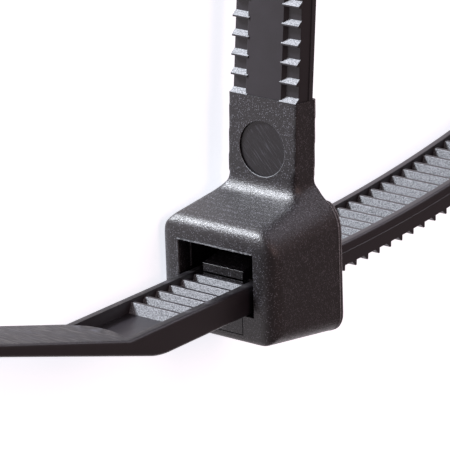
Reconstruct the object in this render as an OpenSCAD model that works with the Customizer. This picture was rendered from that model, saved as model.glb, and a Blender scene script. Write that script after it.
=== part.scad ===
// Nylon cable tie, closed into a loop through its own head and lying on its side.
// The loop's plane is XY, with Z across the strap. The origin is the centre of
// the round part of the loop. Millimetres.

/* [Strap] */
// Width of the strap across its two rails
strap_w = 4.8; // [4.6:0.1:5]
// Thickness from the tips of the outer nubs to the tops of the rails
strap_t = 1.7; // [1.65:0.05:1.9]
// Width of one rail beside the toothed channel
rail_w = 0.55; // [0.45:0.05:0.65]
// Rounding of the outer top edge of a rail
rail_round = 0.2; // [0.1:0.05:0.25]
// Depth of the channel's floor below the rail tops
channel_d = 0.75; // [0.65:0.05:0.8]
// Depth of the mould's parting line below the rail tops
parting_d = 0.55; // [0.5:0.05:0.6]
// Draft of each side of the strap away from the parting line
side_draft = 0.05; // [0.02:0.01:0.08]

/* [Ratchet teeth] */
// Distance from tooth to tooth, also from nub to nub
pitch = 1.114; // [1.1:0.01:1.2]
// Depth of the tooth crests below the rail tops
crest_d = 0.15; // [0.1:0.01:0.2]
// Length of a tooth's flat crest
crest_l = 0.2; // [0.15:0.01:0.22]
// Length of a tooth's ramp along the strap, on the tail's side
ramp_l = 0.25; // [0.2:0.01:0.3]
// Lean of a tooth's locking face, on the head's side
lock_l = 0.04; // [0.02:0.01:0.06]
// Teeth that show between the head and the tail
teeth_out = 5; // [4:1:5]

/* [Outer face] */
// Distance of each row of nubs from the strap's centre line
nub_in = 1.25; // [1.15:0.05:1.35]
// Height of the nubs over the notches between them
nub_h = 0.3; // [0.25:0.01:0.35]
// Length of a nub's flat tip
nub_tip = 0.1; // [0.08:0.01:0.14]
// Length of a nub's ramp, on the tail's side
nub_ramp = 0.32; // [0.28:0.01:0.36]
// Drop of the smooth middle band below the nub tips
land_drop = 0.06; // [0.04:0.01:0.08]
// Run of the middle band's sloped sides
land_slope = 0.2; // [0.15:0.01:0.25]

/* [Loop] */
// Radius of the round part of the loop at the rail tops
bundle_r = 22.5; // [20:0.5:26]
// Heading at which the strap from the head's back enters the round part
enter_a = 16; // [14:1:18]
// Heading at which the strap leaves the round part for the neck
leave_a = 250; // [248:1:252]
// Further lean of the strap where it leaves the neck
kick = 2.3; // [2:0.1:2.6]
// Straight strap between the neck and the first bend
neck_run = 6; // [4:0.5:8]

/* [Head] */
// Length of the head along the strap that passes through it
head_l = 6.5; // [6.3:0.1:7]
// Width of the head
head_w = 8.2; // [8:0.05:8.4]
// Thickness of the head's floor at the front
floor_t = 1.65; // [1.5:0.05:1.8]
// Extra thickness of the floor at the back
floor_rake = 0.95; // [0.8:0.05:1]
// Thickness of the head's roof over the slot at the front edge
roof_t = 1.25; // [1.2:0.05:1.35]
// Rise of the shoulder from the front edge to the neck
shoulder_rise = 0.65; // [0.55:0.05:0.75]
// Height of the side faces above the slot's floor at the front
side_h = 3.75; // [3.65:0.05:3.85]
// Rise of the side faces' upper edges from front to back
side_rise = 0.65; // [0.55:0.05:0.7]
// Height of the narrow ledge behind the neck above the slot's floor
ledge_h = 5.2; // [5:0.05:5.4]
// Rounding of the two upright front edges
front_round = 0.95; // [0.8:0.05:1]
// Rounding of the front edge over the slot
brow_round = 0.65; // [0.5:0.05:0.75]
// Rounding of the lower side edges
low_round = 1.1; // [0.9:0.05:1.2]
// Rounding of the upper side edges, where the 45 degree slopes start
top_round = 1.4; // [1.2:0.05:1.5]
// Fillet between the shoulder and the neck's front
neck_fillet = 1; // [0.8:0.05:1.1]
// Fillet between the slopes and the neck's sides
side_fillet = 0.6; // [0.5:0.05:0.7]

/* [Neck] */
// Lean of the neck towards the head's back
lean = 3.4; // [3:0.1:4]
// Thickness of the neck
neck_t = 1.81; // [1.8:0.01:1.95]
// Height of the neck's top above the slot's floor
neck_top = 11.23; // [11:0.05:11.6]
// Distance of the neck's front at its top behind the head's front face
neck_x = 4.72; // [4.6:0.02:4.8]
// Diameter of the round ejector mark
disc_dia = 3.3; // [3:0.1:3.6]
// Depth of the ejector mark
disc_depth = 0.1; // [0.06:0.01:0.14]
// Distance of the ejector mark's centre below the neck's top
disc_drop = 2.98; // [2.9:0.02:3.1]

/* [Slot and pawl] */
// Height of the slot
slot_h = 3.7; // [3.6:0.05:3.8]
// Width of the slot
slot_w = 5.34; // [5.2:0.02:5.5]
// Gap between the strap and the slot's floor
strap_gap = 0.06; // [0.05:0.01:0.1]
// Depth of the slot's front lip
lip_l = 1.1; // [0.9:0.05:1.2]
// Step of the cavity's side walls behind the lip
lip_step = 0.15; // [0.1:0.01:0.2]
// Height of the strap's way in at the back
back_h = 2.5; // [2.4:0.05:2.6]
// Thickness of the wall over the way in
back_wall = 1; // [0.9:0.05:1.1]
// Width of the pawl
pawl_w = 2.85; // [2.6:0.05:3]
// Height of the pawl's front face above the tooth crests
pawl_h = 0.58; // [0.5:0.01:0.65]
// Reach of the pawl's teeth below the crests
pawl_bite = 0.27; // [0.2:0.01:0.3]
// Length of the flat end of each pawl tooth
pawl_tip = 0.3; // [0.25:0.01:0.34]
// Gap between the pawl and the strap's teeth
pawl_gap = 0.06; // [0.05:0.01:0.08]
// Thickness of the pawl's hinge
hinge_t = 0.45; // [0.4:0.01:0.5]

/* [Tail] */
// Distance from the head's front face to the bend of the strap's outer face
bend_x = 7.8; // [7.6:0.1:8]
// Distance from the head's front face to where the rails run out
rails_x = 10.25; // [10:0.05:10.5]
// Angle by which the tail bends up
bend_a = 16.3; // [15:0.1:17]
// Thickness of the tail's tip
tip_t = 0.5; // [0.4:0.05:0.6]
// Length of the flat tail from the rails' end
tail_l = 23; // [20:1:27]
// Length of the tail's tapered end
taper_l = 9; // [7:0.5:11]
// Width of the tail's tip
tip_w = 2.4; // [2:0.1:2.8]
// Bulge of the channel's closed end
channel_bulge = 0.5; // [0.3:0.05:0.6]

/* [Hidden] */
tie_color = "#26262a";
deg = 180 / PI;
cut = 1;
proud = 0.02;
shy = 0.005;
lap = 0.1;
arc_steps = 8;
edge_round = 0.3;
heel_round = 0.2;
ledge_round = 0.12;
plate_edge = 0.08;
ladder_end = 3;
exit_run = 0.5;
toothless_run = 6;
pawl_teeth = 3;
pawl_slope = 13;
comb_base = 0.2;
bend_r = 5;
taper_r = 3;
tip_r = 1;
pawl_clear = 0.1;
tooth_s = 0.6;

half_w = strap_w / 2;
rail_in = half_w - rail_w;
notch_d = strap_t - nub_h;
land_d = strap_t - land_drop;
rail_y = strap_gap + strap_t;
crest_y = rail_y - crest_d;
channel_y = rail_y - channel_d;

// The strap's path follows the rail tops. It starts at the head's front face,
// heads along +X through the slot, turns left round the loop and ends at the neck.
run_a = head_l + exit_run;
strap_a = lean + kick;
end_a = 270 - strap_a;
start_p = [run_a, rail_y];
neck_p = [neck_x + strap_t * cos(strap_a), neck_top - strap_t * sin(strap_a)];
meet_p = neck_p + neck_run * [sin(strap_a), cos(strap_a)];

// Change of place along a left turn of radius 1 from one heading to another
function turn(a, b) = [sin(b) - sin(a), cos(a) - cos(b)];
function cross2(a, b) = a[0] * b[1] - a[1] * b[0];

// The two long bends are as wide as it takes to close the loop.
turn_b = turn(0, enter_a);
turn_d = turn(leave_a, end_a);
gap_bd = meet_p - start_p - bundle_r * turn(enter_a, leave_a);
bend_b = cross2(gap_bd, turn_d) / cross2(turn_b, turn_d);
bend_d = cross2(turn_b, gap_bd) / cross2(turn_b, turn_d);

round_p = start_p + bend_b * turn_b;
leave_p = round_p + bundle_r * turn(enter_a, leave_a);
run_b = run_a + bend_b * enter_a / deg;
run_c = run_b + bundle_r * (leave_a - enter_a) / deg;
run_d = run_c + bend_d * (end_a - leave_a) / deg;
run_e = run_d + neck_run;

function left(a) = [-sin(a), cos(a)];
centre_b = start_p + bend_b * left(0);
centre_c = round_p + bundle_r * left(enter_a);
centre_d = leave_p + bend_d * left(leave_a);

// Heading of the path at a distance s along it
function heading(s) =
    s <= run_a ? 0 :
    s <= run_b ? (s - run_a) / bend_b * deg :
    s <= run_c ? enter_a + (s - run_b) / bundle_r * deg :
    s <= run_d ? leave_a + (s - run_c) / bend_d * deg : end_a;
// Place on the path at a distance s along it
function place(s) =
    s <= run_a ? [s, rail_y] :
    s <= run_b ? centre_b - bend_b * left(heading(s)) :
    s <= run_c ? centre_c - bundle_r * left(heading(s)) :
    s <= run_d ? centre_d - bend_d * left(heading(s)) :
    meet_p + (s - run_d) * [cos(end_a), sin(end_a)];
// Place at a depth d below the rail tops
function below(s, d) = place(s) - d * left(heading(s));

// Teeth: the first locking face stands at the pawl's front end.
first_tooth = -teeth_out;
last_tooth = floor((run_e - toothless_run - tooth_s) / pitch);
function tooth_at(i) = tooth_s + i * pitch;
// Nubs lie on the same pitch. The neck's top edge takes the place of the first tip.
nub_l = nub_tip + nub_ramp + lock_l;
last_nub = floor((run_e - ladder_end - nub_l) / pitch) - 1;
function nub_at(i) = run_e + lock_l + nub_tip - i * pitch;

pawl_front = tooth_s + pawl_gap;
pawl_low = crest_y + pawl_clear;
pawl_top = crest_y + pawl_h;
back_x = head_l - back_wall;

// Points of a closed outline whose corners [x, y, r] are rounded to radius r
function unit(v) = v / norm(v);
function corner(p, q, w) =
    let (a = [p[0], p[1]], b = [q[0], q[1]], c = [w[0], w[1]],
        u = unit(a - b), v = unit(c - b), half = acos(u * v) / 2,
        k = q[2] / tan(half), m = b + unit(u + v) * q[2] / sin(half),
        e = b + u * k - m, f = b + v * k - m, sweep = 180 - 2 * half,
        side = cross2(e, f) > 0 ? 1 : -1)
    q[2] == 0 ? [b] :
    [for (i = [0:arc_steps]) let (t = side * sweep * i / arc_steps)
        m + [e[0] * cos(t) - e[1] * sin(t), e[0] * sin(t) + e[1] * cos(t)]];
function rounded(pts) = let (n = len(pts))
    [for (i = [0:n - 1]) each corner(pts[(i + n - 1) % n], pts[i], pts[(i + 1) % n])];
function mirrored(pts) = concat(pts, [for (i = [len(pts) - 1:-1:0]) [pts[i][0], -pts[i][1]]]);

// Half of the strap's section as [depth, z], from the rail round to the outer face.
// A stretch that ends inside its neighbours is drawn smaller all round by e.
function rail_side(e) = concat(
    [for (i = [0:arc_steps]) let (t = 90 * i / arc_steps)
        [e + rail_round * (1 - cos(t)), half_w - e - side_draft - rail_round * (1 - sin(t))]],
    [[parting_d, half_w - e]]);

module ladder_section(e = 0) {
    polygon(mirrored(concat(
        [[channel_d + e, rail_in + e], [e, rail_in + e]],
        rail_side(e),
        [[notch_d - e, half_w - side_draft - e], [notch_d - e, nub_in + land_slope - e],
            [land_d - e, nub_in - e]])));
}

module plain_section() {
    polygon(mirrored(concat(
        rail_side(0),
        [[strap_t - plate_edge, half_w - side_draft], [strap_t, half_w - side_draft - plate_edge]])));
}

// Straight stretch of a section that ends at p with heading a
module straight(p, a, l) {
    translate([p[0], p[1], 0])
        rotate([90, 0, a - 90])
            linear_extrude(l) children();
}

// Bent stretch of a section round centre c, from heading a to heading b
module bent(c, r, a, b) {
    translate([c[0], c[1], 0])
        rotate([0, 0, a - 90])
            rotate_extrude(angle = b - a, $fn = 180)
                translate([r, 0]) children();
}

// Extrusion along Z, evenly to both sides
module across(w) {
    translate([0, 0, -w / 2]) linear_extrude(w) children();
}

// Strap with the nubbed outer face: through the back of the slot and round the loop
module strap() {
    b_over = lap / bend_b * deg;
    d_over = lap / bend_d * deg;
    straight(start_p, 0, run_a - ladder_end) ladder_section();
    bent(centre_b, bend_b, -b_over, enter_a + b_over) ladder_section(shy);
    bent(centre_c, bundle_r, enter_a, leave_a) ladder_section();
    bent(centre_d, bend_d, leave_a - d_over, end_a + d_over) ladder_section(shy);
    straight(neck_p - [sin(strap_a), cos(strap_a)], end_a, neck_run + 1) ladder_section();
}

// One strip of ratchet teeth from tooth a to tooth b, let into the strap
module tooth_strip(a, b) {
    top = [for (i = [a:b]) let (s = tooth_at(i)) each [
        below(s - lock_l - crest_l - ramp_l, channel_d - proud),
        below(s - lock_l - crest_l, crest_d),
        below(s - lock_l, crest_d),
        below(s, channel_d - proud)]];
    base = [for (i = [b:-1:a]) let (s = tooth_at(i)) each [
        below(s, channel_d + comb_base),
        below(s - lock_l - crest_l - ramp_l, channel_d + comb_base)]];
    across(2 * rail_in + rail_w) polygon(concat(top, base));
}

// One row of nubs, let into the strap
module nub_strip(a, b) {
    tip = [for (i = [a:b]) let (s = nub_at(i)) each [
        below(s, notch_d + proud),
        below(s - lock_l, strap_t),
        below(s - lock_l - nub_tip, strap_t),
        below(s - nub_l, notch_d + proud)]];
    base = [for (i = [b:-1:a]) let (s = nub_at(i)) each [
        below(s - nub_l, notch_d - comb_base),
        below(s, notch_d - comb_base)]];
    linear_extrude(half_w - side_draft - nub_in + land_slope / 2) polygon(concat(tip, base));
}

module nubs() {
    for (z = [nub_in - land_slope / 2, -half_w + side_draft])
        translate([0, 0, z]) nub_strip(0, last_nub);
}

// Side view of the bent tail, with the middle of the bend at bend_p
tail_dir = [-cos(bend_a), sin(bend_a)];
tail_up = [sin(bend_a), cos(bend_a)];
bend_p = [-bend_x, strap_gap];
rails_p = [-rails_x, rail_y];
tip_p = rails_p + tail_l * tail_dir;
under_p = tip_p - tip_t * tail_up;
under_dir = unit(under_p - bend_p);
under_a = atan(-under_dir[1] / under_dir[0]);
bend_in = bend_r * tan(under_a / 2);

// Outline below the tail, with the strap's outer face rounded into the bend
function under_line() = concat(
    [[ladder_end + cut, -cut], [-bend_x + bend_in, -cut]],
    [for (i = [0:arc_steps]) let (t = under_a * i / arc_steps)
        [-bend_x + bend_in, strap_gap + bend_r] - bend_r * [sin(t), cos(t)]]);

// Plan of the tail with its tapered, rounded tip
module tail_plan() {
    far = under_p[0];
    polygon(rounded([
        [ladder_end, half_w, 0], [far + taper_l, half_w, taper_r], [far, tip_w / 2, tip_r],
        [far, -tip_w / 2, tip_r], [far + taper_l, -half_w, taper_r], [ladder_end, -half_w, 0]]));
}

// Smooth-backed strap in front of the teeth and the flat, bent tail
module tail() {
    difference() {
        union() {
            intersection() {
                straight([ladder_end, rail_y], 0, ladder_end + rails_x) plain_section();
                across(strap_w + 2 * cut) polygon(concat(under_line(),
                    [under_p, rails_p + [-cut, cut], [ladder_end + cut, rail_y + cut]]));
            }
            intersection() {
                across(strap_w - 2 * side_draft) polygon(concat(
                    [for (p = under_line()) if (p[1] > 0) p],
                    [under_p, tip_p, rails_p - tail_dir * cut]));
                translate([0, tail_l, 0]) rotate([90, 0, 0]) linear_extrude(2 * tail_l) tail_plan();
            }
        }
        channel_cut();
    }
}

// Open channel with a bulged, closed end just before the flat tail
module channel_cut() {
    end_x = rails_x - lap;
    bulge_r = (rail_in * rail_in + channel_bulge * channel_bulge) / (2 * channel_bulge);
    translate([0, channel_y + strap_t, 0]) rotate([90, 0, 0]) linear_extrude(strap_t)
        difference() {
            translate([-end_x, -rail_in]) square([ladder_end + end_x + cut, 2 * rail_in]);
            translate([channel_bulge - end_x - bulge_r, 0]) circle(bulge_r, $fn = 90);
        }
}

// Side view of head and neck
neck_dir = [sin(lean), cos(lean)];
half_head = head_w / 2;
shoulder_y = slot_h + roof_t + shoulder_rise;
function neck_at(p, y) = p - (p[1] - y) / neck_dir[1] * neck_dir;
module head_side() {
    front = [neck_x, neck_top];
    back = front + neck_t * [cos(lean), -sin(lean)];
    foot = neck_at(front, shoulder_y);
    back_foot = neck_at(back, ledge_h);
    polygon(rounded([
        [0, -floor_t, edge_round],
        [head_l, -floor_t - floor_rake, heel_round],
        [head_l, ledge_h, ledge_round],
        [back_foot[0], back_foot[1], ledge_round],
        [back[0], back[1], 0],
        [neck_x, neck_top, 0],
        [foot[0], foot[1], neck_fillet],
        [0, slot_h + roof_t, brow_round]]));
}

// Front views of head and neck as [y, z]: one from the slot's floor upwards,
// the other from the underside
head_reach = neck_top + 4 * cut;
module head_upper() {
    polygon(mirrored_round([
        [-head_reach, 0, 0], [-head_reach, half_head, 0],
        [side_h, half_head, top_round], [side_h + half_head - half_w, half_w, side_fillet],
        [head_reach, half_w, 0], [head_reach, 0, 0]]));
}
module head_lower() {
    polygon(mirrored_round([
        [0, 0, 0], [0, half_head, low_round],
        [floor_t + head_reach, half_head, 0], [floor_t + head_reach, 0, 0]]));
}
function mirrored_round(pts) = let (q = rounded(pts))
    concat(q, [for (i = [len(q) - 2:-1:1]) [q[i][0], -q[i][1]]]);

// Extrusion of a front view along the head, turned by a round its front lower edge
module along_head(a) {
    rotate([0, 0, a]) translate([-4 * cut, 0, 0]) rotate([90, 0, 90])
        linear_extrude(head_l + 8 * cut) children();
}

// Plan of the head as [x, z]
module head_plan() {
    polygon(rounded([
        [0, half_head, front_round], [head_l + cut, half_head, 0],
        [head_l + cut, -half_head, 0], [0, -half_head, front_round]]));
}

// Head and neck. The slopes climb and the rounded lower edges fall towards the back.
module head_block() {
    intersection() {
        across(2 * head_w) head_side();
        along_head(atan(side_rise / head_l)) head_upper();
        translate([0, -floor_t, 0]) along_head(-atan(floor_rake / head_l)) head_lower();
        translate([0, head_reach, 0]) rotate([90, 0, 0])
            linear_extrude(2 * head_reach) head_plan();
    }
}

// Space that the strap passes through, with its front lip and its way in
module slot() {
    translate([-cut, 0, -slot_w / 2]) cube([lip_l + 2 * cut, slot_h, slot_w]);
    translate([lip_l, 0, -slot_w / 2 - lip_step])
        cube([back_x - lip_l, slot_h, slot_w + 2 * lip_step]);
    translate([back_x - cut, 0, -slot_w / 2]) cube([back_wall + 2 * cut, back_h, slot_w]);
}

// Ratchet pawl, hinged on the wall over the way in
module pawl() {
    heel = (back_x - pawl_front) * tan(pawl_slope);
    across(pawl_w) polygon([
        [pawl_front, pawl_low], [pawl_front, pawl_top],
        [back_x + lap, pawl_top + heel], [back_x + lap, pawl_top + heel - hinge_t],
        [tooth_at(pawl_teeth) - pitch / 2, pawl_low]]);
    for (i = [0:pawl_teeth - 1]) {
        x = tooth_at(i) + pawl_gap;
        across(pawl_w) polygon([
            [x, pawl_low + lap], [x, crest_y - pawl_bite],
            [x + pawl_tip, crest_y - pawl_bite],
            [x + pawl_tip + ramp_l / 2, pawl_low + lap]]);
    }
}

module disc_mark() {
    translate([neck_x, neck_top, 0]) rotate([0, 0, -lean])
        translate([-cut, -disc_drop, 0]) rotate([0, 90, 0])
            cylinder(h = cut + disc_depth, d = disc_dia, $fn = 90);
}

module cable_tie() {
    color(tie_color) translate([-centre_c[0], -centre_c[1], 0]) {
        difference() {
            head_block();
            slot();
            disc_mark();
        }
        pawl();
        strap();
        tail();
        tooth_strip(first_tooth, last_tooth);
        nubs();
    }
}

cable_tie();
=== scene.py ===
from math import atan, cos, degrees, pi, radians, sin, tan

import bmesh
import bpy
from mathutils import Matrix, Vector
from mathutils.geometry import intersect_point_line


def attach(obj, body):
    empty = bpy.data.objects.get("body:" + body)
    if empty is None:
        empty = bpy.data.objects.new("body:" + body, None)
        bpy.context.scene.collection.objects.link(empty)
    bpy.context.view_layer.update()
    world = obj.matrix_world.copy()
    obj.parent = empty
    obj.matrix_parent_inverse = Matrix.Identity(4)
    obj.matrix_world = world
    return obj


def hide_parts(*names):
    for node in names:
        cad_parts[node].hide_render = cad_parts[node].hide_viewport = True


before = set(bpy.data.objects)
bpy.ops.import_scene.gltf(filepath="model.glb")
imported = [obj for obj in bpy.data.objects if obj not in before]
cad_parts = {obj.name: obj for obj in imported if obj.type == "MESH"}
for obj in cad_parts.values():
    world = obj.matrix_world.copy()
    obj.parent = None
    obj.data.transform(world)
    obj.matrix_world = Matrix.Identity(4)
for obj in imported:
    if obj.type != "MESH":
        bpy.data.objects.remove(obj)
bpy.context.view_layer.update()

# The strap: a flat nylon bar with a rail along each side and a channel between them.
# It leaves the tail, runs through the head and round the loop, and ends as the head's
# neck, all injection moulded in one shot with the head.
strap_w, strap_t = 4.8, 1.7
rail_w, rail_round = 0.55, 0.2
channel_d, parting_d, side_draft = 0.75, 0.55, 0.05
nub_in, nub_h, land_drop, land_slope = 1.25, 0.3, 0.06, 0.2
bundle_r, enter_a, leave_a = 22.5, 16.0, 250.0
lean, kick, neck_run = 3.4, 2.3, 6.0
head_l, neck_x, neck_top = 6.5, 4.72, 11.23
strap_gap, exit_run, ladder_end = 0.06, 0.5, 3.0
seam, under_seam, inner_round, notch_round, land_round = 0.02, 0.03, 0.04, 0.05, 0.03
into_neck = 0.8  # the strap's bar runs on this far inside the neck
touching = 1e-4  # corners this close are one

half_w = strap_w / 2
rail_in = half_w - rail_w
rail_y = strap_gap + strap_t
notch_d = strap_t - nub_h
strap_a = lean + kick
end_a = 270 - strap_a
run_a = head_l + exit_run


def turn(a, b):
    """How far a left turn of radius 1 from heading a to heading b carries."""
    a, b = radians(a), radians(b)
    return Vector((sin(b) - sin(a), cos(a) - cos(b)))


def left(a):
    """The direction to the left of a heading."""
    return Vector((-sin(radians(a)), cos(radians(a))))


# The two long bends are as wide as it takes to close the loop.
start_p = Vector((run_a, rail_y))
neck_p = Vector((neck_x + strap_t * cos(radians(strap_a)), neck_top - strap_t * sin(radians(strap_a))))
meet_p = neck_p + neck_run * Vector((sin(radians(strap_a)), cos(radians(strap_a))))
turn_b, turn_d = turn(0, enter_a), turn(leave_a, end_a)
gap_bd = meet_p - start_p - bundle_r * turn(enter_a, leave_a)
bend_b = gap_bd.cross(turn_d) / turn_b.cross(turn_d)
bend_d = turn_b.cross(gap_bd) / turn_b.cross(turn_d)
centre_b = start_p + bend_b * left(0)
centre_c = start_p + bend_b * turn_b + bundle_r * left(enter_a)
centre_d = start_p + bend_b * turn_b + bundle_r * turn(enter_a, leave_a) + bend_d * left(leave_a)
run_b = run_a + bend_b * radians(enter_a)
run_c = run_b + bundle_r * radians(leave_a - enter_a)
run_d = run_c + bend_d * radians(end_a - leave_a)
run_e = run_d + neck_run


def on_strap(s):
    """Matrix that carries a shape from the origin to the rail tops at a distance s along the strap."""
    if s <= run_a:
        a, p = 0, Vector((s, rail_y))
    elif s <= run_b:
        a = degrees((s - run_a) / bend_b)
        p = centre_b - bend_b * left(a)
    elif s <= run_c:
        a = enter_a + degrees((s - run_b) / bundle_r)
        p = centre_c - bundle_r * left(a)
    elif s <= run_d:
        a = leave_a + degrees((s - run_c) / bend_d)
        p = centre_d - bend_d * left(a)
    else:
        a, p = end_a, meet_p + (s - run_d) * Vector((cos(radians(end_a)), sin(radians(end_a))))
    return Matrix.Translation((p.x, p.y, 0)) @ Matrix.Rotation(radians(a), 4, "Z")


def block(name, low, high):
    """A box from one corner to the other, ready to be shaped."""
    bpy.ops.object.select_all(action="DESELECT")
    low, high = Vector(low), Vector(high)
    bpy.ops.mesh.primitive_cube_add(size=1, location=(low + high) / 2, scale=high - low)
    bpy.context.object.name = name
    bpy.ops.object.transform_apply()
    return bpy.context.object


def select(piece, kind, test):
    """In edit mode, selects only those corners, edges or faces of a piece that pass a test."""
    bpy.ops.mesh.select_mode(type=kind)
    bpy.ops.mesh.select_all(action="DESELECT")
    mesh = bmesh.from_edit_mesh(piece.data)
    for part in {"VERT": mesh.verts, "EDGE": mesh.edges, "FACE": mesh.faces}[kind]:
        if kind == "VERT":
            place = part.co
        else:
            place = sum((v.co for v in part.verts), Vector()) / len(part.verts)
        part.select_set(test(place, part))
    mesh.select_flush_mode()
    bmesh.update_edit_mesh(piece.data)


def slice_off(piece, point, normal):
    """In edit mode, planes away all of a piece that lies beyond a plane."""
    bpy.ops.mesh.select_all(action="SELECT")
    bpy.ops.mesh.bisect(plane_co=point, plane_no=Vector(normal).normalized(), clear_outer=True, use_fill=True)


def prism(name, axis, low, high, corners):
    """An outline of corners (a, b, radius), each rounded off, drawn out along an axis from low to high."""
    at = {"X": lambda a, b: (low, a, b), "Y": lambda a, b: (a, low, b), "Z": lambda a, b: (a, b, low)}[axis]
    bpy.ops.object.select_all(action="DESELECT")
    bpy.ops.mesh.primitive_circle_add(vertices=len(corners), radius=1, fill_type="NGON")
    piece = bpy.context.object
    piece.name = name
    for vertex, (a, b, r) in zip(piece.data.vertices, corners):
        vertex.co = at(a, b)
    bpy.ops.object.mode_set(mode="EDIT")
    for n, (a, b, r) in enumerate(corners):
        if r:
            here, back, on = (Vector(corners[k][:2]) for k in (n, n - 1, (n + 1) % len(corners)))
            half = (back - here).angle(on - here) / 2
            place = Vector(at(a, b))
            select(piece, "VERT", lambda m, v: (m - place).length < touching)
            bpy.ops.mesh.bevel(offset=r / tan(half), segments=8, affect="VERTICES")
    bpy.ops.mesh.select_all(action="SELECT")
    way = {"X": (high - low, 0, 0), "Y": (0, high - low, 0), "Z": (0, 0, high - low)}[axis]
    bpy.ops.mesh.extrude_region_move(TRANSFORM_OT_translate={"value": way})
    bpy.ops.mesh.select_all(action="SELECT")
    bpy.ops.mesh.normals_make_consistent(inside=False)
    bpy.ops.object.mode_set(mode="OBJECT")
    return piece


def linear(code):
    """An sRGB hex colour as the linear values that a shader takes."""
    parts = [int(code[i:i + 2], 16) / 255 for i in (1, 3, 5)]
    return [c / 12.92 if c <= 0.04045 else ((c + 0.055) / 1.055) ** 2.4 for c in parts] + [1]


def node(material, kind, links={}, **settings):
    """Adds one node. Its sockets are set by name in links, from a value or from another node's output."""
    tree = material.node_tree
    new = tree.nodes.new("ShaderNode" + kind)
    for key, value in settings.items():
        setattr(new, key, value)
    for key, value in links.items():
        socket = new.inputs[key]
        if isinstance(value, bpy.types.NodeSocket):
            tree.links.new(value, socket)
        else:
            socket.default_value = value
    return new


def new_finish(name):
    """An empty material."""
    material = bpy.data.materials.new(name)
    material.use_nodes = True
    material.node_tree.nodes.clear()
    return material


MM = 1000  # pattern scales are per metre, so one feature per millimetre is 1000

# Black PA66 off polished mould steel, on the rails, the land and the notches. It has a low
# satin gloss, is very slightly warm, and shows faint flow marks about 0.8 mm long. Nylon's
# IOR of 1.53 is lowered to match its weak shine.
satin = new_finish("polished_black_nylon")
place = node(satin, "TexCoord").outputs["Object"]
flow = node(satin, "TexNoise", {"Vector": place, "Scale": 1.2 * MM, "Detail": 4.0})
fine = node(satin, "TexNoise", {"Vector": place, "Scale": 9 * MM, "Detail": 2.0})
tone = node(satin, "Mix", {"Factor": flow.outputs["Fac"], "A": linear("#171518"), "B": linear("#1e1b20")},
            data_type="RGBA")
bump = node(satin, "Bump", {"Height": fine.outputs["Fac"], "Strength": 0.5, "Distance": 0.000006})
gloss = node(satin, "MapRange", {"Value": flow.outputs["Fac"], "To Min": 0.33, "To Max": 0.46})
skin = node(satin, "BsdfPrincipled", {
    "Base Color": tone.outputs["Result"], "Roughness": gloss.outputs["Result"],
    "Normal": bump.outputs["Normal"], "IOR": 1.46})
node(satin, "OutputMaterial", {"Surface": skin.outputs["BSDF"]})


def worn_finish(name, angles, glossy, dull):
    """Polished black nylon with scratches 0.05 mm wide, whose direction is turned by angles."""
    worn = new_finish(name)
    place = node(worn, "TexCoord").outputs["Object"]
    along = node(worn, "Mapping", {
        "Vector": place, "Rotation": [radians(a) for a in angles], "Scale": (1, 0.05, 1)},
        vector_type="TEXTURE")
    lines = node(worn, "TexNoise", {"Vector": along.outputs["Vector"], "Scale": 0.9 * MM, "Detail": 3.0})
    scratch = node(worn, "MapRange", {"Value": lines.outputs["Fac"], "From Min": 0.56, "From Max": 0.68})
    tone = node(worn, "Mix", {
        "Factor": scratch.outputs["Result"], "A": linear("#0e0c0f"), "B": linear("#343338")},
        data_type="RGBA")
    gloss = node(worn, "MapRange", {"Value": lines.outputs["Fac"], "From Min": 0.35, "From Max": 0.65,
                                    "To Min": glossy, "To Max": dull})
    bump = node(worn, "Bump", {"Height": lines.outputs["Fac"], "Strength": 0.6, "Distance": 0.000008})
    skin = node(worn, "BsdfPrincipled", {
        "Base Color": tone.outputs["Result"], "Roughness": gloss.outputs["Result"],
        "Normal": bump.outputs["Normal"], "IOR": 1.46})
    node(worn, "OutputMaterial", {"Surface": skin.outputs["BSDF"]})
    return worn


def settle(piece, *finishes):
    """Takes a piece from millimetres at the slot's floor to its place in metres, and ties it to the part."""
    piece.data.transform(Matrix.Scale(0.001, 4) @ Matrix.Translation((-centre_c.x, -centre_c.y, 0)))
    for finish in finishes:
        piece.data.materials.append(finish)
    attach(piece, "root")
    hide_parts("cable_tie")


# The section is drawn out straight through the head's slot, spun round the three bends of
# the loop and drawn on into the neck. A thin seam of flash stands along each side, where the
# two halves of the mould meet.
land_d = strap_t - land_drop
half_section = [
    (rail_y - channel_d, rail_in, 0), (rail_y, rail_in, inner_round),
    (rail_y, half_w - side_draft, rail_round), (rail_y - parting_d + seam, half_w, 0),
    (rail_y - parting_d, half_w + seam, 0), (rail_y - parting_d - seam, half_w - under_seam, 0),
    (rail_y - notch_d, half_w - side_draft, notch_round),
    (rail_y - notch_d, nub_in + land_slope, 0), (rail_y - land_d, nub_in, land_round)]
strap = prism("strap", "X", ladder_end, run_a, half_section + [(y, -z, r) for y, z, r in half_section[::-1]])
bpy.ops.object.mode_set(mode="EDIT")
select(strap, "FACE", lambda m, f: all(abs(v.co.x - run_a) < touching for v in f.verts))
for centre, sweep, steps in (  # 0.8 to 2 mm of strap a step
        (centre_b, enter_a, 16), (centre_c, leave_a - enter_a, 117), (centre_d, end_a - leave_a, 10)):
    bpy.ops.mesh.spin(steps=steps, angle=-radians(sweep), center=(centre.x, centre.y, 0), axis=(0, 0, 1))
onward = Vector((cos(radians(end_a)), sin(radians(end_a)), 0))
bpy.ops.mesh.extrude_region_move(TRANSFORM_OT_translate={"value": onward * (neck_run + into_neck)})
bpy.ops.mesh.select_all(action="SELECT")
bpy.ops.mesh.remove_doubles(threshold=touching)
bpy.ops.mesh.normals_make_consistent(inside=False)
bpy.ops.object.mode_set(mode="OBJECT")
bpy.ops.object.shade_smooth_by_angle(angle=radians(32))
settle(strap, satin)

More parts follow.
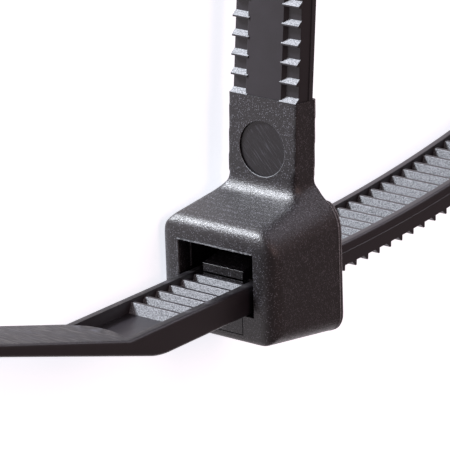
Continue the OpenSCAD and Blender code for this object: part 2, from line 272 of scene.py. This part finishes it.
# The ratchet teeth: saw teeth across the channel, each with a steep locking face towards
# the head and a ramp that the pawl climbs. The ramps come off a spark-eroded electrode, so
# they are frosted light grey, while crests and roots stay dark.
pitch, crest_d, crest_l, ramp_l, lock_l = 1.114, 0.15, 0.2, 0.25, 0.04
teeth_out, tooth_s, toothless_run = 5, 0.6, 6
foot_in, side_in, crest_round = 0.03, 0.05, 0.03  # how far a tooth runs into floor and rails
last_tooth = int((run_e - toothless_run - tooth_s) // pitch)

# Frosted nylon: the same black resin off a coarse electrode, so rough that it scatters the
# light to a pale grey. Its grit is about 0.07 mm, with dark pits between.
frost = new_finish("frosted_black_nylon")
place = node(frost, "TexCoord").outputs["Object"]
grit = node(frost, "TexNoise", {"Vector": place, "Scale": 14 * MM, "Detail": 4.0, "Roughness": 0.7})
spread = node(frost, "MapRange", {"Value": grit.outputs["Fac"], "From Min": 0.38, "From Max": 0.62})
tone = node(frost, "Mix", {
    "Factor": spread.outputs["Result"], "A": linear("#3a3c3f"), "B": linear("#8e9094")}, data_type="RGBA")
bump = node(frost, "Bump", {"Height": grit.outputs["Fac"], "Strength": 1.0, "Distance": 0.00004})
skin = node(frost, "BsdfPrincipled", {
    "Base Color": tone.outputs["Result"], "Roughness": 0.62, "Normal": bump.outputs["Normal"], "IOR": 1.53})
node(frost, "OutputMaterial", {"Surface": skin.outputs["BSDF"]})

tooth_l = lock_l + crest_l + ramp_l
half_tooth = rail_in + side_in
tooth = block("tooth", (-tooth_l, -channel_d - foot_in, -half_tooth), (0, -crest_d, half_tooth))
bpy.ops.object.mode_set(mode="EDIT")
select(tooth, "VERT", lambda m, v: m.y > -channel_d and m.x < -0.1)
bpy.ops.transform.translate(value=(ramp_l, 0, 0))
select(tooth, "VERT", lambda m, v: m.y > -channel_d and m.x > -0.1)
bpy.ops.transform.translate(value=(-lock_l, 0, 0))
select(tooth, "EDGE", lambda m, e: m.y > -crest_d - 0.01)
bpy.ops.mesh.bevel(offset=crest_round, segments=2, affect="EDGES")
bpy.ops.object.mode_set(mode="OBJECT")
for finish in (satin, frost):
    tooth.data.materials.append(finish)
for face in tooth.data.polygons:
    face.material_index = int(face.normal.x < -0.5 and face.normal.y > 0.2)


def repeat(name, model, places):
    """Copies a model to each place and joins the copies, so that the model itself is used up."""
    bpy.ops.object.select_all(action="DESELECT")
    for place in places:
        copy = model.copy()
        copy.data = model.data.copy()
        copy.data.transform(place)
        bpy.context.collection.objects.link(copy)
        copy.select_set(True)
    bpy.context.view_layer.objects.active = copy
    bpy.ops.object.join()
    row = bpy.context.object
    row.name = name
    bpy.data.objects.remove(model)
    return row


teeth = repeat("ratchet_teeth", tooth, [
    on_strap(tooth_s + i * pitch) for i in range(-teeth_out, last_tooth + 1)])
settle(teeth)

# The grip nubs: two rows of saw-tooth ribs on the strap's outer face, on the same pitch as
# the teeth, moulded so that a fed strap can be gripped. Their ramps are frosted too.
nub_tip, nub_ramp, nub_foot, nub_round = 0.1, 0.32, 0.05, 0.025
nub_l = nub_tip + nub_ramp + lock_l
last_nub = int((run_e - ladder_end - nub_l) // pitch) - 1
nub = block("nub", (-nub_l, -strap_t, nub_in - land_slope / 2), (0, -notch_d + nub_foot, half_w - side_draft))
bpy.ops.object.mode_set(mode="EDIT")
select(nub, "VERT", lambda m, v: m.y < -notch_d and m.x < -0.1)
bpy.ops.transform.translate(value=(nub_ramp, 0, 0))
select(nub, "VERT", lambda m, v: m.y < -notch_d and m.x > -0.1)
bpy.ops.transform.translate(value=(-lock_l, 0, 0))
select(nub, "EDGE", lambda m, e: m.y < -strap_t + 0.01)
bpy.ops.mesh.bevel(offset=nub_round, segments=2, affect="EDGES")
bpy.ops.mesh.select_all(action="SELECT")
bpy.ops.mesh.duplicate()
bpy.ops.transform.resize(value=(1, 1, -1), center_override=(0, 0, 0))
bpy.ops.mesh.select_all(action="SELECT")
bpy.ops.mesh.normals_make_consistent(inside=False)
bpy.ops.object.mode_set(mode="OBJECT")
for finish in (satin, frost):
    nub.data.materials.append(finish)
for face in nub.data.polygons:
    face.material_index = int(face.normal.x < -0.3 and face.normal.y < -0.2 and abs(face.normal.z) < 0.5)
nubs = repeat("grip_nubs", nub, [on_strap(run_e + lock_l + nub_tip - i * pitch) for i in range(last_nub + 1)])
settle(nubs)

# The head and neck: a block with a sloped shoulder and a neck that carries the strap. It is
# moulded around a core that leaves the slot, and its outer skin is spark eroded.
head_w, floor_t, floor_rake, roof_t, shoulder_rise = 8.2, 1.65, 0.95, 1.25, 0.72
side_h, side_rise, ledge_h, neck_t = 4.0, 0.5, 5.2, 1.81
front_round, brow_round, low_round, top_round = 0.95, 0.75, 1.1, 1.8
neck_fillet, side_fillet, ledge_round, edge_round, heel_round = 1.0, 0.6, 0.12, 0.3, 0.2
slot_h, slot_w, lip_l, lip_step, back_h, back_wall = 3.7, 5.34, 1.1, 0.15, 2.5, 1.0
disc_dia, disc_depth, disc_drop = 3.3, 0.1, 2.98
back_x = head_l - back_wall
half_head = head_w / 2
neck_dir = Vector((sin(radians(lean)), cos(radians(lean))))
neck_front = Vector((neck_x, neck_top))
neck_back = neck_front + neck_t * Vector((neck_dir.y, -neck_dir.x))


def down_neck(p, y):
    """The point at height y on the leaning line down the neck from p."""
    return p - (p.y - y) / neck_dir.y * neck_dir


# Spark-eroded nylon: the mould's pitted steel leaves an even grain on a charcoal ground. Pale
# spots 0.05 mm across, painted into the base colour of scattered grains, are painted glints.
# The real grain of about 0.03 mm is too fine to show, so it is drawn at 0.1 mm.
eroded = new_finish("spark_eroded_black_nylon")
place = node(eroded, "TexCoord").outputs["Object"]
grain = node(eroded, "TexNoise", {"Vector": place, "Scale": 10 * MM, "Detail": 3.0, "Roughness": 0.7})
cell = node(eroded, "TexVoronoi", {"Vector": place, "Scale": 13 * MM})
cloud = node(eroded, "TexNoise", {"Vector": place, "Scale": 0.8 * MM, "Detail": 3.0})
# painted glints: a share of the grains gets a pale base colour, whether it is lit or not
spot = node(eroded, "Math", {0: cell.outputs["Distance"], 1: 0.36}, operation="LESS_THAN")
chosen = node(eroded, "Math", {0: cell.outputs["Color"], 1: 0.6}, operation="GREATER_THAN")
painted_glint = node(eroded, "Math", {0: spot.outputs["Value"], 1: chosen.outputs["Value"]}, operation="MULTIPLY")
ground = node(eroded, "Mix", {"Factor": cloud.outputs["Fac"], "A": linear("#0d0b0d"), "B": linear("#161417")},
              data_type="RGBA")
tone = node(eroded, "Mix", {
    "Factor": painted_glint.outputs["Value"], "A": ground.outputs["Result"], "B": linear("#56565c")},
    data_type="RGBA")
bump = node(eroded, "Bump", {"Height": grain.outputs["Fac"], "Strength": 1.0, "Distance": 0.00003})
gloss = node(eroded, "MapRange", {"Value": grain.outputs["Fac"], "From Min": 0.38, "From Max": 0.62,
                                  "To Min": 0.29, "To Max": 0.5})
skin = node(eroded, "BsdfPrincipled", {
    "Base Color": tone.outputs["Result"], "Roughness": gloss.outputs["Result"],
    "Normal": bump.outputs["Normal"], "IOR": 1.53})
node(eroded, "OutputMaterial", {"Surface": skin.outputs["BSDF"]})
scratched = worn_finish("scratched_black_nylon", (45, 0, 0), 0.25, 0.5)


def carve(piece, tool, operation="DIFFERENCE"):
    """Cuts a piece with a tool, or keeps what they share, and uses the tool up."""
    cut = piece.modifiers.new("carve", "BOOLEAN")
    cut.operation, cut.solver, cut.object = operation, "EXACT", tool
    bpy.ops.object.select_all(action="DESELECT")
    bpy.context.view_layer.objects.active = piece
    bpy.ops.object.modifier_apply(modifier=cut.name)
    bpy.data.objects.remove(tool)


far, past = 15, 4  # well beyond the head on every side, and a little past its front and back
neck_foot, back_foot = down_neck(neck_front, slot_h + roof_t + shoulder_rise), down_neck(neck_back, ledge_h)
over_front, over_back = neck_front + neck_dir, neck_back + neck_dir
head = prism("head", "Z", -head_w, head_w, [
    (0, -floor_t, edge_round), (head_l, -floor_t - floor_rake, heel_round), (head_l, ledge_h, ledge_round),
    (back_foot.x, back_foot.y, ledge_round), (over_back.x, over_back.y, 0), (over_front.x, over_front.y, 0),
    (neck_foot.x, neck_foot.y, neck_fillet), (0, slot_h + roof_t, brow_round)])
slopes = [(-far, half_head, 0), (side_h, half_head, top_round),
          (side_h + half_head - half_w, half_w, side_fillet), (far, half_w, 0)]
upper = prism("upper_view", "X", -past, head_l + past, slopes + [(y, -z, r) for y, z, r in slopes[::-1]])
upper.data.transform(Matrix.Rotation(atan(side_rise / head_l), 4, "Z"))
lower = prism("lower_view", "X", -past, head_l + past, [
    (0, half_head, low_round), (far, half_head, 0), (far, -half_head, 0), (0, -half_head, low_round)])
lower.data.transform(
    Matrix.Translation((0, -floor_t, 0)) @ Matrix.Rotation(-atan(floor_rake / head_l), 4, "Z"))
plan = prism("plan", "Y", -far, far, [
    (0, half_head, front_round), (head_l + 1, half_head, 0),
    (head_l + 1, -half_head, 0), (0, -half_head, front_round)])
for tool in (upper, lower, plan):
    carve(head, tool, "INTERSECT")

# A fine voxel skin joins the four views and lets every edge be rubbed soft, as a polished
# electrode leaves it. The neck stays crisp, the body is rubbed more, and the ridge between
# the shoulder and its visible side slope is rubbed most.
voxel = 0.085
skinned = head.modifiers.new("skin", "REMESH")
skinned.mode, skinned.voxel_size = "VOXEL", voxel
bpy.ops.object.modifier_apply(modifier=skinned.name)
body = head.vertex_groups.new(name="body")
body.add([v.index for v in head.data.vertices if v.co.y < neck_foot.y + neck_fillet], 1, "REPLACE")
ridge = head.vertex_groups.new(name="ridge")
ridge_start, ridge_end = Vector((0, 4.95, 3.15)), Vector((4.4, 5.67, 2.78))
ridge_reach, ridge_back = 1.6, 5.2
for vertex in head.data.vertices:
    on_ridge = intersect_point_line(vertex.co, ridge_start, ridge_end)[0]
    near = ridge_reach - (vertex.co - on_ridge).length
    if near > 0 and vertex.co.x < ridge_back:
        ridge.add([vertex.index], min(near, 1), "REPLACE")
for name, times, group in (("rub_all", 3, ""), ("rub_body", 22, "body"), ("rub_ridge", 140, "ridge")):
    rubbed = head.modifiers.new(name, "SMOOTH")
    rubbed.factor, rubbed.iterations, rubbed.vertex_group = 0.5, times, group
    bpy.ops.object.modifier_apply(modifier=rubbed.name)


def swell(piece, depth):
    """Moves the whole skin of a piece outwards."""
    bpy.ops.object.select_all(action="DESELECT")
    bpy.context.view_layer.objects.active = piece
    bpy.ops.object.mode_set(mode="EDIT")
    bpy.ops.mesh.select_all(action="SELECT")
    bpy.ops.transform.shrink_fatten(value=depth)
    bpy.ops.object.mode_set(mode="OBJECT")


swell(head, 0.03)  # puts back what the rubbing took off the corners
for finish in (eroded, scratched, frost):
    head.data.materials.append(finish)

# Flash: the mould's back half meets its front half just before the head's back. A double
# hair line of pale nylon stands out there, round the head and up the leaning neck.
seam_x, seam_step, seam_turn, hair, hair_h = 6.1, 0.2, 6.6, 0.05, 0.025
trims = []
for start in (seam_x, seam_x + seam_step):
    top_x = start + (far - seam_turn) * tan(radians(lean))
    line = prism("line", "Z", -far, far, [
        (start, -far, 0), (start, seam_turn, 0), (top_x, far, 0),
        (top_x + hair, far, 0), (start + hair, seam_turn, 0), (start + hair, -far, 0)])
    trim = head.copy()
    trim.data = head.data.copy()
    bpy.context.collection.objects.link(trim)
    carve(trim, line, "INTERSECT")
    swell(trim, hair_h)
    trims.append(trim)

# The neck's top is cut square, as a crisp step over the strap's outer face.
top = block("top", (-9, 0, -9), (9, 9, 9))
top.data.transform(Matrix.Translation((neck_x, neck_top, 0)) @ Matrix.Rotation(-radians(lean), 4, "Z"))
for piece in trims:
    cap = top.copy()
    carve(piece, cap)
carve(head, top)

# The slot: a front mouth with a hair-fine chamfer, a wider cavity behind its lip, and the
# strap's lower way in at the back.
chamfer_x, chamfer_l, chamfer_w = 0.06, 0.07, 0.08
mouth = block("mouth", (chamfer_x, 0, -slot_w / 2), (lip_l + 1, slot_h, slot_w / 2))
bpy.ops.object.mode_set(mode="EDIT")
select(mouth, "FACE", lambda m, f: f.normal.x < -0.9)
bpy.ops.mesh.extrude_region_move(TRANSFORM_OT_translate={"value": (-chamfer_l, 0, 0)})
bpy.ops.transform.resize(
    value=(1, 1 + chamfer_w / slot_h, 1 + chamfer_w / slot_w), center_override=(0, slot_h / 2, 0))
bpy.ops.mesh.extrude_region_move(TRANSFORM_OT_translate={"value": (-1, 0, 0)})
bpy.ops.object.mode_set(mode="OBJECT")
carve(head, mouth)
carve(head, block("cavity", (lip_l, 0, -slot_w / 2 - lip_step), (back_x, slot_h, slot_w / 2 + lip_step)))
carve(head, block("way_in", (back_x - 1, 0, -slot_w / 2), (head_l + 1, back_h, slot_w / 2)))

# The core's outline under the slot, a faint groove, and the torn burr on the slot's edges:
# along its top, down its left edge and down the lip inside it. Its pale frosted finish is
# partly real flash and partly a painted highlight along these edges.
insert_w, insert_h, groove = 3.8, 1.22, 0.05
burr_out, burr_in, torn = 0.05, 0.04, 0.02
for low_y, high_y, low_z, high_z in (
        (-insert_h, 1, -insert_w / 2, -insert_w / 2 + groove),
        (-insert_h, 1, insert_w / 2 - groove, insert_w / 2),
        (-insert_h, -insert_h + groove, -insert_w / 2, insert_w / 2)):
    carve(head, block("groove", (-1, low_y, low_z), (groove, high_y, high_z)))
for x, low_y, high_y, low_z, high_z in (
        (0, slot_h - 0.01, slot_h + 0.06, -slot_w / 2 - 0.03, slot_w / 2),
        (0, 0.5, slot_h, -slot_w / 2 - 0.05, -slot_w / 2 + 0.01),
        (lip_l, rail_y, slot_h, -slot_w / 2 - 0.03, -slot_w / 2 + 0.02)):
    burr_and_glint = block("burr_and_glint", (x - burr_out, low_y, low_z), (x + burr_in, high_y, high_z))
    bpy.ops.object.mode_set(mode="EDIT")
    bpy.ops.mesh.select_all(action="SELECT")
    bpy.ops.mesh.subdivide(number_cuts=30)
    bpy.ops.transform.vertex_random(offset=torn, seed=3)
    bpy.ops.object.mode_set(mode="OBJECT")
    # pale frost on the burr: partly real flash, partly a painted highlight on the edge
    for finish in (eroded, scratched, frost):
        burr_and_glint.data.materials.append(finish)
    trims.append(burr_and_glint)

# The ejector mark: a shallow round dish in the neck's face, with a burr round its rim and
# machining scratches on its floor. The rim's pale frosted burr is partly a painted highlight.
bpy.ops.object.select_all(action="DESELECT")
bpy.ops.mesh.primitive_cylinder_add(vertices=64, radius=disc_dia / 2, depth=1)
mark = bpy.context.object
on_neck = (Matrix.Translation((neck_x, neck_top, 0)) @ Matrix.Rotation(-radians(lean), 4, "Z")
           @ Matrix.Translation((0, -disc_drop, 0)))
mark.data.transform(on_neck @ Matrix.Translation((disc_depth - 0.5, 0, 0)) @ Matrix.Rotation(pi / 2, 4, "Y"))
carve(head, mark)
bpy.ops.object.select_all(action="DESELECT")
bpy.ops.mesh.primitive_torus_add(
    major_radius=disc_dia / 2, minor_radius=hair_h, major_segments=90, minor_segments=8)
rim = bpy.context.object
rim.data.transform(on_neck @ Matrix.Rotation(pi / 2, 4, "Y"))
# pale frost on the rim: partly a real burr, partly a painted highlight round the dish
for finish in (eroded, scratched, frost):
    rim.data.materials.append(finish)
trims.append(rim)
to_mark = on_neck.inverted()
for face in head.data.polygons:
    spot = to_mark @ face.center
    if abs(spot.x - disc_depth) < 0.02 and spot.yz.length < disc_dia / 2:
        face.material_index = 1
# seam hairs, burrs and the rim take the pale frost; on the burrs and the rim it is partly a painted highlight
for trim in trims:
    for face in trim.data.polygons:
        face.material_index = 2
bpy.ops.object.select_all(action="DESELECT")
for piece in trims + [head]:
    piece.select_set(True)
bpy.context.view_layer.objects.active = head
bpy.ops.object.join()
bpy.ops.object.shade_smooth_by_angle(angle=radians(35))
settle(head)

# The pawl: a springy tongue hinged over the way in, whose three teeth drop behind the
# strap's. Its end and top are eroded like the head, and its flanks are polished.
pawl_w, pawl_h, pawl_bite, pawl_tip, pawl_gap, pawl_clear = 2.85, 0.68, 0.27, 0.3, 0.06, 0.1
hinge_t, pawl_slope, pawl_teeth, into_wall, into_pawl = 0.45, 13, 3, 0.1, 0.1
pawl_front = tooth_s + pawl_gap
crest_y = rail_y - crest_d
pawl_low, pawl_top = crest_y + pawl_clear, crest_y + pawl_h
heel = (back_x - pawl_front) * tan(radians(pawl_slope))
bites = [prism("bite", "Z", -pawl_w / 2, pawl_w / 2, [
    (x, pawl_low + into_pawl, 0), (x, crest_y - pawl_bite, 0.04), (x + pawl_tip, crest_y - pawl_bite, 0.04),
    (x + pawl_tip + ramp_l / 2, pawl_low + into_pawl, 0)])
    for x in (pawl_front + i * pitch for i in range(pawl_teeth))]
pawl = prism("pawl", "Z", -pawl_w / 2, pawl_w / 2, [
    (pawl_front, pawl_low, 0), (pawl_front, pawl_top, 0.05), (back_x + into_wall, pawl_top + heel, 0),
    (back_x + into_wall, pawl_top + heel - hinge_t, 0), (tooth_s + 2.5 * pitch, pawl_low, 0.1)])
bpy.ops.object.select_all(action="DESELECT")
for piece in bites + [pawl]:
    piece.select_set(True)
bpy.context.view_layer.objects.active = pawl
bpy.ops.object.join()
for finish in (satin, eroded):
    pawl.data.materials.append(finish)
for face in pawl.data.polygons:
    face.material_index = int(face.normal.x < -0.9 or face.normal.y > 0.9)
settle(pawl)

# The tail: the smooth-backed end of the strap that is pulled. Its channel closes in a bulge,
# and from there it runs on flat, bent up a little and tapered to a narrow tip.
bend_x, bend_a, bend_r, rails_x, channel_bulge = 7.8, 16.3, 5.0, 10.25, 0.5
tail_l, taper_l, tip_t, tip_w = 23.0, 9.0, 0.5, 2.4
tail_round, rail_wear, channel_short, top_skin = 0.22, 0.04, 0.1, 0.1
tail_dir = Vector((-cos(radians(bend_a)), sin(radians(bend_a))))
tail_up = Vector((sin(radians(bend_a)), cos(radians(bend_a))))
tip_p = Vector((-rails_x, rail_y)) + tail_l * tail_dir
under_p = tip_p - tip_t * tail_up
tail = prism("tail", "Z", -half_w, half_w, [
    (ladder_end, strap_gap, 0), (ladder_end, rail_y, 0), (-rails_x, rail_y, 0), (tip_p.x, tip_p.y, 0),
    (under_p.x, under_p.y, 0), (-bend_x, strap_gap, bend_r)])
bpy.ops.object.mode_set(mode="EDIT")
for side in (-1, 1):
    slice_off(tail, (under_p.x + taper_l, 0, side * half_w), (-(half_w - tip_w / 2), 0, side * taper_l))
bpy.ops.object.mode_set(mode="OBJECT")
eased = tail.modifiers.new("ease", "BEVEL")
eased.width, eased.segments, eased.limit_method, eased.angle_limit = tail_round, 4, "ANGLE", radians(40)
bpy.ops.object.modifier_apply(modifier=eased.name)
end_x = rails_x - channel_short
channel = block("channel", (-end_x, rail_y - channel_d, -rail_in), (ladder_end + 1, rail_y + 1, rail_in))
bulge_r = (rail_in ** 2 + channel_bulge ** 2) / (2 * channel_bulge)
bpy.ops.object.select_all(action="DESELECT")
bpy.ops.mesh.primitive_cylinder_add(
    vertices=120, radius=bulge_r, depth=9, location=(channel_bulge - end_x - bulge_r, rail_y, 0),
    rotation=(pi / 2, 0, 0))
bulge = bpy.context.object
bpy.ops.object.transform_apply()
carve(channel, bulge)
carve(tail, channel)
worn = tail.modifiers.new("wear", "BEVEL")
worn.width, worn.segments, worn.limit_method, worn.angle_limit = rail_wear, 2, "ANGLE", radians(60)
bpy.ops.object.modifier_apply(modifier=worn.name)
bpy.ops.object.select_all(action="DESELECT")
tail.select_set(True)
bpy.context.view_layer.objects.active = tail
bpy.ops.object.shade_smooth_by_angle(angle=radians(32))
tail.data.materials.append(satin)
tail.data.materials.append(worn_finish("handled_black_nylon", (0, 90, 0), 0.4, 0.8))
for face in tail.data.polygons:
    face.material_index = int(face.normal.y > 0.9 and face.center.y > rail_y - top_skin)
settle(tail)

# The stage: a plain white table that the tie lies on. It glows a little and casts no shadow,
# as a light table does, so that the key lamp can shine up through it.
bpy.ops.object.select_all(action="DESELECT")
bpy.ops.mesh.primitive_plane_add(size=3, location=(0, 0, -half_head / 1000))
floor = bpy.context.object
floor.name = "floor"
paper = new_finish("white_table")
glow = node(paper, "BsdfPrincipled", {
    "Base Color": linear("#f4f4f4"), "Roughness": 0.9, "Emission Color": linear("#f2f7ff"),
    "Emission Strength": 0.75})
node(paper, "OutputMaterial", {"Surface": glow.outputs["BSDF"]})
floor.data.materials.append(paper)
floor.visible_shadow = False

world = bpy.data.worlds.new("studio")
bpy.context.scene.world = world
world.use_nodes = True
world.node_tree.nodes["Background"].inputs["Color"].default_value = linear("#ffe6e8")
world.node_tree.nodes["Background"].inputs["Strength"].default_value = 0.3

middle = Vector((4.0, 5.6, 0))  # the head's middle, where lamps and camera aim


def lamp(name, way, distance, size, power, color):
    """A square softbox that stands in a direction from the head and shines on it."""
    light = bpy.data.lights.new(name, "AREA")
    light.size, light.energy, light.color = size, power, linear(color)[:3]
    stand = bpy.data.objects.new(name, light)
    aim = (middle - Vector((centre_c.x, centre_c.y, 0))) / 1000
    way = Vector(way).normalized()
    stand.location = aim + way * distance
    stand.rotation_euler = way.to_track_quat("Z", "Y").to_euler()
    bpy.context.collection.objects.link(stand)


# The key shines up through the table, so that every face that looks along the loop's plane
# shows a broad sheen and the upper side stays dark. A weak warm light opens that side.
lamp("key", (-0.32, 0.73, -0.6), 0.6, 0.13, 12, "#f4f8ff")
lamp("fill", (0.05, 0.4, 1.0), 0.8, 0.4, 2, "#ffd8d2")
lamp("rim", (0.73, 0.6, 0.31), 0.6, 0.25, 0.7, "#f4f0ff")

# The camera: a long macro lens at the photograph's angle, fitted to the tie's own corners.
# The focal length is in pixels of a 450-pixel frame, angles in radians and the rest in mm.
frame_px, sensor, focal = 450, 36, 3806.98631
tilt, swing, roll = 0.327995301, 0.887158586, 0.0329899631
shift_x, shift_y, distance = 1.84400703, 1.6523753, 216.306736
view = Matrix.Rotation(roll, 3, "Z") @ Matrix.Rotation(tilt, 3, "X") @ Matrix.Rotation(swing, 3, "Y")
lens = bpy.data.cameras.new("camera")
lens.sensor_width, lens.sensor_height, lens.sensor_fit = sensor, sensor, "AUTO"
lens.lens = focal / frame_px * sensor
lens.clip_start, lens.clip_end = 0.01, 10
camera = bpy.data.objects.new("camera", lens)
eye = middle - view.transposed() @ Vector((shift_x, shift_y, -distance))
camera.matrix_world = (
    Matrix.Translation((eye - Vector((centre_c.x, centre_c.y, 0))) / 1000) @ view.transposed().to_4x4())
bpy.context.collection.objects.link(camera)
bpy.context.scene.camera = camera
bpy.context.scene.view_settings.view_transform = "Standard"
